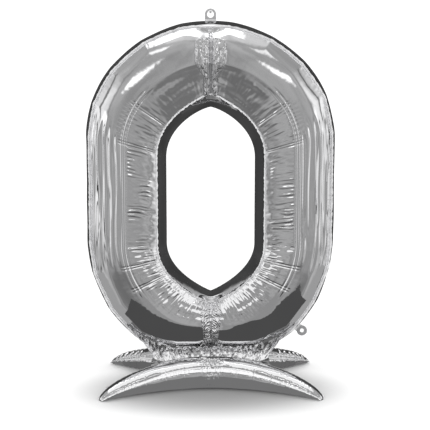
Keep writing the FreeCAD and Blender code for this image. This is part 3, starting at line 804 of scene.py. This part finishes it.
def skirt_shape(seed):
    """Straight lines from a curve on the foot to a curve on the number, pushed along the normals by
    a half sine, by pleats and by crushed noise, less where the lines are short."""
    q = np.linspace(-1, 1, SKIRT_ROWS)
    a = np.abs(q)
    w = np.interp(0.10 * a, fine, lengths) * np.sign(q)
    points, normals = chamber(w % AROUND, 50 - 10 * a)
    row = np.arange(SKIRT_ROWS)
    high = points[row, row] + normals[row, row] * 0.0035
    share = np.minimum(a / 0.7, 1)
    foot = cushion(0.5 * share * np.sign(q), 92 + 20 * share, 0.0016)
    rise = 0.90 * step(a, 0.55, 1.0)[:, None]
    low = foot * (1 - rise) + high * rise
    v = np.linspace(0, 1, SKIRT_COLUMNS)
    shape = low[:, None] + (high - low)[:, None] * v[None, :, None]
    inside = np.sin(np.pi * v)[None, :]
    long = np.linalg.norm(high - low, axis=1)[:, None]
    height = 0.0028 * skirt_waves(40, 1.0, seed) + 0.0056 * np.abs(skirt_waves(30, 1.8, seed + 1))
    height = height * np.clip((long - 0.012) / 0.03, 0.1, 1.0) + 0.006 * inside
    return shape - grid_normals(shape, False, False) * (height * (0.25 + 0.75 * inside))[:, :, None]


for side, mirror, seed in (("front", 1.0, 101), ("rear", -1.0, 111)):
    shape = skirt_shape(seed)
    shape[:, :, 1] *= mirror
    obj = film(side + "_skirt_film", shape, edge=0.0003, deep=0.0006, flip=mirror > 0)
    give(obj, None, "gathered_foil", side + "_skirt")
    size, area = flat_cut(shape)
    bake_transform(obj)

# %% [markdown]
# ## The web
# A flat film under the number ties the two feet together, from one inner seam to the other, so they
# can't slide apart.  It is pulled straight, so it only needs a slight wave.

# %% Web
u = np.linspace(-0.52, 0.52, 121)
inner_edge = cushion(u, 180 - foot_seam(u), 0.0079)[:, None]
across = np.linspace(-1, 1, 41)[None, :, None]
shape = inner_edge * np.array([1.0, 0.0, 1.0]) + inner_edge * np.array([0.0, 1.0, 0.0]) * -across
shape[:, :, 2] += 0.0009 * waves(121, 41, 16, 6, 121)
web = film("centre_web_film", shape, edge=0.0003, deep=0.0005, flip=True)
give(web, "base", "gathered_foil", "centre_web")
size, area = flat_cut(shape)
print("web", round(float(np.ptp(shape[:, :, 1])), 3), "m deep")

# %% [markdown]
# ## Foil finishes
# Metallised film is a mirror, so its material is almost nothing: a metal with a low roughness.  What
# makes it look like film are wrinkles too fine to model, slow changes of roughness where it has been
# handled, and, on welded or gathered film, a dense crinkle that scatters the light.  All patterns
# read Object coordinates, so they keep their size on every piece.

# %% Film material
def foil(name, colour, metal, rough, fine_wrinkle, crinkle):
    """Mirror film: a roughness and a tint that drift with one noise, and two sizes of wrinkle as
    bump.  fine_wrinkle and crinkle are each a size and a depth in metres."""
    mat = bpy.data.materials.new(name)
    mat.use_nodes = True
    nodes, links = mat.node_tree.nodes, mat.node_tree.links
    shader, where = nodes["Principled BSDF"], nodes.new("ShaderNodeTexCoord")
    shader.inputs["Metallic"].default_value = metal

    def pattern(kind, **inputs):
        """A texture node on Object coordinates."""
        node = nodes.new(kind)
        for socket, value in inputs.items():
            node.inputs[socket].default_value = value
        links.new(where.outputs["Object"], node.inputs["Vector"])
        return node

    drift = pattern("ShaderNodeTexNoise", Scale=9.0, Detail=4.0)
    span = nodes.new("ShaderNodeMapRange")
    for socket, value in (("From Min", 0.3), ("From Max", 0.7),
                          ("To Min", rough * 0.7), ("To Max", rough * 1.5)):
        span.inputs[socket].default_value = value
    links.new(drift.outputs["Fac"], span.inputs["Value"])
    links.new(span.outputs["Result"], shader.inputs["Roughness"])
    tint = nodes.new("ShaderNodeMix")
    tint.data_type = "RGBA"
    tint.inputs["A"].default_value = (*[c * 0.93 for c in colour], 1)
    tint.inputs["B"].default_value = (*colour, 1)
    links.new(drift.outputs["Fac"], tint.inputs["Factor"])
    links.new(tint.outputs["Result"], shader.inputs["Base Color"])
    wrinkles = pattern("ShaderNodeTexNoise", Scale=1.0 / fine_wrinkle[0], Detail=3.0)
    cells = pattern("ShaderNodeTexVoronoi", Scale=1.0 / crinkle[0])
    first, second = nodes.new("ShaderNodeBump"), nodes.new("ShaderNodeBump")
    first.inputs["Distance"].default_value = fine_wrinkle[1]
    second.inputs["Distance"].default_value = crinkle[1]
    links.new(wrinkles.outputs["Fac"], first.inputs["Height"])
    links.new(cells.outputs["Distance"], second.inputs["Height"])
    links.new(first.outputs["Normal"], second.inputs["Normal"])
    links.new(second.outputs["Normal"], shader.inputs["Normal"])
    return mat


# %% [markdown]
# ## Five finishes on all pieces
# The chamber and the feet are plain mirror film.  The weld is whiter and duller, because heat has
# clouded it.  Gathered film is a mirror with a denser crinkle.  The tabs and the valves are thicker,
# greyer film without the bright coating.

# %% Give the finishes
SILVER, CLOUDED = (0.90, 0.90, 0.91), (0.96, 0.96, 0.97)
TAB_GREY, VALVE_GREY = (0.72, 0.72, 0.73), (0.62, 0.62, 0.63)
finishes = {
    "foil": foil("silver_foil", SILVER, 1.0, 0.05, (0.060, 0.0006), (0.012, 0.00003)),
    "seam": foil("welded_seam", CLOUDED, 0.25, 0.22, (0.010, 0.0004), (0.005, 0.00015)),
    "gathered_foil": foil("gathered_foil", SILVER, 1.0, 0.06, (0.016, 0.0005), (0.010, 0.00006)),
    "tab_film": foil("tab_film", TAB_GREY, 0.7, 0.34, (0.012, 0.0003), (0.004, 0.00015)),
    "valve_film": foil("valve_film", VALVE_GREY, 0.7, 0.30, (0.012, 0.0003), (0.004, 0.00010)),
}
for slot, objects in pieces.items():
    for obj in objects:
        obj.data.materials.clear()
        obj.data.materials.append(finishes[slot])
carried = dict.fromkeys(("hang_tab_root", "hang_tab", "hang_tab_tongue", "side_tab_root", "side_tab",
                         "number_valve_tail", "front_foot_tail", "rear_foot_tail"), "tab_film")
for part in ("number", "front_foot", "rear_foot"):
    for layer in ("inner", "outer"):
        carried[part + "_valve_" + layer + "_film"] = "valve_film"
for node, slot in carried.items():
    for cad_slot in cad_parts[node].material_slots:
        cad_slot.material = finishes[slot]
print("finishes", len(finishes), "on", sum(map(len, pieces.values())) + len(carried), "pieces")

# %% [markdown]
# ## The studio in the mirror
# A mirror shows its room, so the room matters as much as the film.  It could be built from lamps and
# walls, but a room drawn in the world shader, by direction, is exact and costs nothing to render.
# Each wall and softbox is a mask in azimuth and elevation that lays one brightness over the last.
# Azimuth is zero towards the front, where the camera stands.

# %% Drawing tools for the world
world = bpy.data.worlds.new("studio")
bpy.context.scene.world = world
world.use_nodes = True
nodes, links = world.node_tree.nodes, world.node_tree.links
nodes.clear()


def feed(socket, value):
    """A link or a plain number into a socket."""
    if isinstance(value, bpy.types.NodeSocket):
        links.new(value, socket)
    else:
        socket.default_value = value


def calc(kind, a, b=0.0):
    """One arithmetic node."""
    node = nodes.new("ShaderNodeMath")
    node.operation = kind
    feed(node.inputs[0], a)
    feed(node.inputs[1], b)
    return node.outputs[0]


def ramp(value, a, b, low=0.0, high=1.0):
    """A soft step of a value from low to high between a and b."""
    node = nodes.new("ShaderNodeMapRange")
    node.interpolation_type = "SMOOTHSTEP"
    for k, v in enumerate((value, a, b, low, high)):
        feed(node.inputs[k], v)
    return node.outputs[0]


def gate(value, a, b, soft):
    """One between a and b, zero outside, with soft edges."""
    rise, fall = ramp(value, a - soft, a + soft), ramp(value, b - soft, b + soft, 1.0, 0.0)
    return calc("MULTIPLY", rise, fall)


def blend(under, over, mask):
    """over laid on under through a mask: under times one minus mask, plus over times mask."""
    clear = calc("SUBTRACT", 1.0, mask)
    return calc("ADD", calc("MULTIPLY", under, clear), calc("MULTIPLY", over, mask))


# %% Directions
where = nodes.new("ShaderNodeTexCoord")
split = nodes.new("ShaderNodeSeparateXYZ")
links.new(where.outputs["Generated"], split.inputs[0])
east, north, up = split.outputs
DEGREES = 180 / math.pi
azimuth = calc("MULTIPLY", calc("ARCTAN2", east, calc("MULTIPLY", north, -1.0)), DEGREES)
turned = calc("ABSOLUTE", azimuth)
elevation = calc("MULTIPLY", calc("ARCSINE", up), DEGREES)
print("direction nodes", len(nodes))

# %% [markdown]
# ## Walls and softboxes
# The front wall is a mid grey, the side walls are bright with dark gaps beside them, and behind
# the number the room is nearly black, which is what draws the dark shapes inside the ring.  Softboxes
# are small and brighter than white, so they read as highlights.

# %% Walls
ahead_of_rim = ramp(north, 0.45, 0.36)
light = ramp(turned, 38, 74, 0.37, 0.52)
side_walls = calc("MULTIPLY", gate(elevation, -12, 30, 5.0), gate(turned, 60, 108, 5.0))
light = blend(light, 0.88, side_walls)
for near, far, soft, dark in ((83, 90, 2.5, 0.20), (52, 57, 3.0, 0.28)):
    light = blend(light, dark, gate(turned, near, far, soft))
dark_band = calc("MULTIPLY", gate(elevation, -66, -26, 5.0), ramp(turned, 56, 44))
light = blend(light, 0.20, dark_band)
light = blend(light, 0.055, ramp(north, 0.33, 0.40))
light = blend(light, 0.38, ramp(north, 0.93, 0.965))
light = blend(light, 0.42, calc("MULTIPLY", ramp(up, 0.55, 0.75), ahead_of_rim))
print("wall nodes", len(nodes))

# %% Softboxes
# Each row: elevation from and to, azimuth from and to, in degrees, and the brightness.
for low, high, left, right, power in (
        (23, 31, 21, 40, 1.3), (48, 55, 33, 54, 1.1), (4, 14, 60, 68, 1.3)):
    box = calc("MULTIPLY", gate(elevation, low, high, 2.5), gate(turned, left, right, 3.0))
    light = blend(light, power, box)
light = blend(light, 0.66, calc("MULTIPLY", ramp(up, 0.86, 0.92), ahead_of_rim))
overhead = calc("MULTIPLY", gate(north, -0.14, 0.36, 0.02), gate(east, -0.46, 0.30, 0.03))
overhead = calc("MULTIPLY", overhead, calc("GREATER_THAN", up, 0.2))
light = blend(light, 1.5, overhead)
drift = nodes.new("ShaderNodeTexNoise")
drift.inputs["Scale"].default_value = 2.2
drift.inputs["Detail"].default_value = 3.0
links.new(where.outputs["Generated"], drift.inputs["Vector"])
light = calc("MULTIPLY", light, ramp(drift.outputs["Fac"], 0.3, 0.7, 0.80, 1.18))
print("with softboxes", len(nodes))

# %% [markdown]
# ## The near floor, and who sees the studio
# A direction that points down meets the floor at a distance that follows from its slope, so the near
# floor is a mask in that distance: a mid grey that ends softly ahead and to both sides.  Only mirrors
# see the studio.  Everything else sees plain white, which gives the floor a soft, even light.

# %% Near floor and output
WHITE, NEAR_FLOOR = 1.24, 0.37
drop = calc("MAXIMUM", calc("MULTIPLY", up, -1.0), 0.001)
ahead = calc("DIVIDE", calc("MULTIPLY", north, -1.0), drop)
aside = calc("ABSOLUTE", calc("DIVIDE", east, drop))
below = ramp(up, 0.0, -0.02)
near_floor = calc("MULTIPLY", calc("MULTIPLY", below, ramp(aside, 2.6, 2.2)), ramp(ahead, 0.62, 0.42))
light = blend(light, NEAR_FLOOR, calc("MULTIPLY", near_floor, ramp(north, 0.40, 0.33)))
in_mirror = nodes.new("ShaderNodeLightPath").outputs["Is Glossy Ray"]
shine = nodes.new("ShaderNodeBackground")
feed(shine.inputs["Color"], blend(WHITE, light, in_mirror))
output = nodes.new("ShaderNodeOutputWorld")
links.new(shine.outputs[0], output.inputs[0])
print("world nodes", len(nodes))

# %% [markdown]
# ## The paper floor
# The floor is a large pale sheet that catches the soft shadow under the feet.  Plain white light from
# all sides leaves that shadow very faint, so a painted shadow is added: the paper's colour darkens in
# an ellipse round the feet.  Mirrors don't see the paper: they see the drawn room and the cards
# below.

# %% Paper floor
FLOOR_REACH, FLOOR_POINTS, FLOOR_Z = 6, 13, -0.0005
span = np.linspace(-FLOOR_REACH, FLOOR_REACH, FLOOR_POINTS)
level = np.full((FLOOR_POINTS, FLOOR_POINTS), FLOOR_Z)
spot = np.stack([*np.meshgrid(span, span, indexing="ij"), level], -1)
floor = new_object("floor", spot, quads(FLOOR_POINTS, FLOOR_POINTS, False, False).tolist())
paper = bpy.data.materials.new("paper_floor")
paper.use_nodes = True
# From here on, calc and ramp add to the paper's nodes.
nodes, links = paper.node_tree.nodes, paper.node_tree.links
where, split = nodes.new("ShaderNodeTexCoord"), nodes.new("ShaderNodeSeparateXYZ")
grain, tone = nodes.new("ShaderNodeTexNoise"), nodes.new("ShaderNodeMapRange")
grain.inputs["Scale"].default_value = 40.0
tone.inputs["To Min"].default_value = 0.955
tone.inputs["To Max"].default_value = 0.975
links.new(where.outputs["Object"], grain.inputs["Vector"])
links.new(grain.outputs["Fac"], tone.inputs["Value"])
links.new(where.outputs["Object"], split.inputs[0])
# Painted shadow: the paper's colour darkens in an ellipse round the feet, in place of a cast contact
# shadow.
reach_x = calc("POWER", calc("DIVIDE", calc("ABSOLUTE", split.outputs[0]), 0.40), 2.0)
reach_y = calc("POWER", calc("DIVIDE", calc("ADD", split.outputs[1], 0.10), 0.25), 2.0)
painted_shadow = ramp(calc("ADD", reach_x, reach_y), 0.0, 1.7, 0.42, 1.0)
surface = nodes["Principled BSDF"]
links.new(calc("MULTIPLY", tone.outputs["Result"], painted_shadow), surface.inputs["Base Color"])
surface.inputs["Roughness"].default_value = 0.9
surface.inputs["Specular IOR Level"].default_value = 0.0
floor.data.materials.append(paper)
floor.visible_glossy = False
print("floor", 2 * FLOOR_REACH, "m wide")

# %% [markdown]
# ## Cards for the mirrors
# The room drawn in the world is infinitely far away: what a mirror shows of it depends on its tilt
# alone, not on its place.  What lies close by is shown by cards instead, as in a real studio: a dark
# table in front of and behind the number makes the dark zone low on the ring, and a softbox hangs
# over the front foot.  Two cards on the floor set what the undersides see: a dark card between the
# feet is painted shade, and a dim glowing card round the feet is a painted reflection of the shaded
# floor near them.  Only mirrors see them, and three of them are clear from behind, so they don't cut
# off the light.

# %% Card maker
TABLE_Z = 0.105


def rectangle(left, right, near, far, z):
    """Four corners, anticlockwise seen from above."""
    return np.array([(left, near, z), (right, near, z), (right, far, z), (left, far, z)])


def card(name, points, strength, one_sided):
    """A flat card that only mirrors see, shining with the given strength, clear from behind if asked:
    its alpha is then one minus Backfacing."""
    mat = bpy.data.materials.new(name)
    mat.use_nodes = True
    tree = mat.node_tree
    shader = tree.nodes["Principled BSDF"]
    shader.inputs["Base Color"].default_value = (0.0, 0.0, 0.0, 1.0)
    shader.inputs["Specular IOR Level"].default_value = 0.0
    shader.inputs["Emission Color"].default_value = (1.0, 1.0, 1.0, 1.0)
    shader.inputs["Emission Strength"].default_value = strength
    if one_sided:
        side = tree.nodes.new("ShaderNodeNewGeometry")
        clear = tree.nodes.new("ShaderNodeMath")
        clear.operation = "SUBTRACT"
        clear.inputs[0].default_value = 1.0
        tree.links.new(side.outputs["Backfacing"], clear.inputs[1])
        tree.links.new(clear.outputs[0], shader.inputs["Alpha"])
    obj = new_object(name, points, [[0, 1, 2, 3]])
    obj.data.materials.append(mat)
    obj.visible_camera = obj.visible_diffuse = obj.visible_shadow = False


# %% Five cards
table = rectangle(-0.43, 0.54, -0.44, -0.098, TABLE_Z)
table[1, 1] = -0.55
card("dark_table", table, 0.076, True)
card("dark_table_back", (table * np.array([1.0, -1.0, 1.0]))[::-1], 0.076, True)
card("low_softbox", rectangle(-0.46, 0.46, -0.50, -0.17, 0.5)[::-1], 1.0, True)
# A dark card between the feet, seen only in mirrors: painted shade of the floor between them.
card("painted_gap_shade", rectangle(-0.46, 0.46, -0.10, 0.16, 0.002), 0.14, False)
# A dim glowing card under the feet, seen only in mirrors: a painted reflection of the shaded floor
# round them.
card("painted_floor_reflection", rectangle(-0.46, 0.46, -0.32, 0.32, -0.0002), 0.19, False)
print("cards on the table plane at", TABLE_Z, "m")

# %% [markdown]
# ## The camera
# The camera stands a little above the middle of the number and looks slightly down, from far enough
# away to flatten the perspective.  Depth of field stays off, so every fold is sharp.

# %% Camera
LOOK_DOWN, LOOK_RIGHT = 6.98, 0.82
camera = bpy.data.objects.new("camera", bpy.data.cameras.new("camera"))
bpy.context.scene.collection.objects.link(camera)
camera.location = (-0.03, -3.15, 0.9726)
camera.rotation_euler = (math.radians(90 - LOOK_DOWN), 0.0, math.radians(-LOOK_RIGHT))
camera.data.lens = 77.07
bpy.context.scene.camera = camera
bpy.context.scene.view_settings.view_transform = "Standard"
print("camera", tuple(round(v, 3) for v in camera.location))
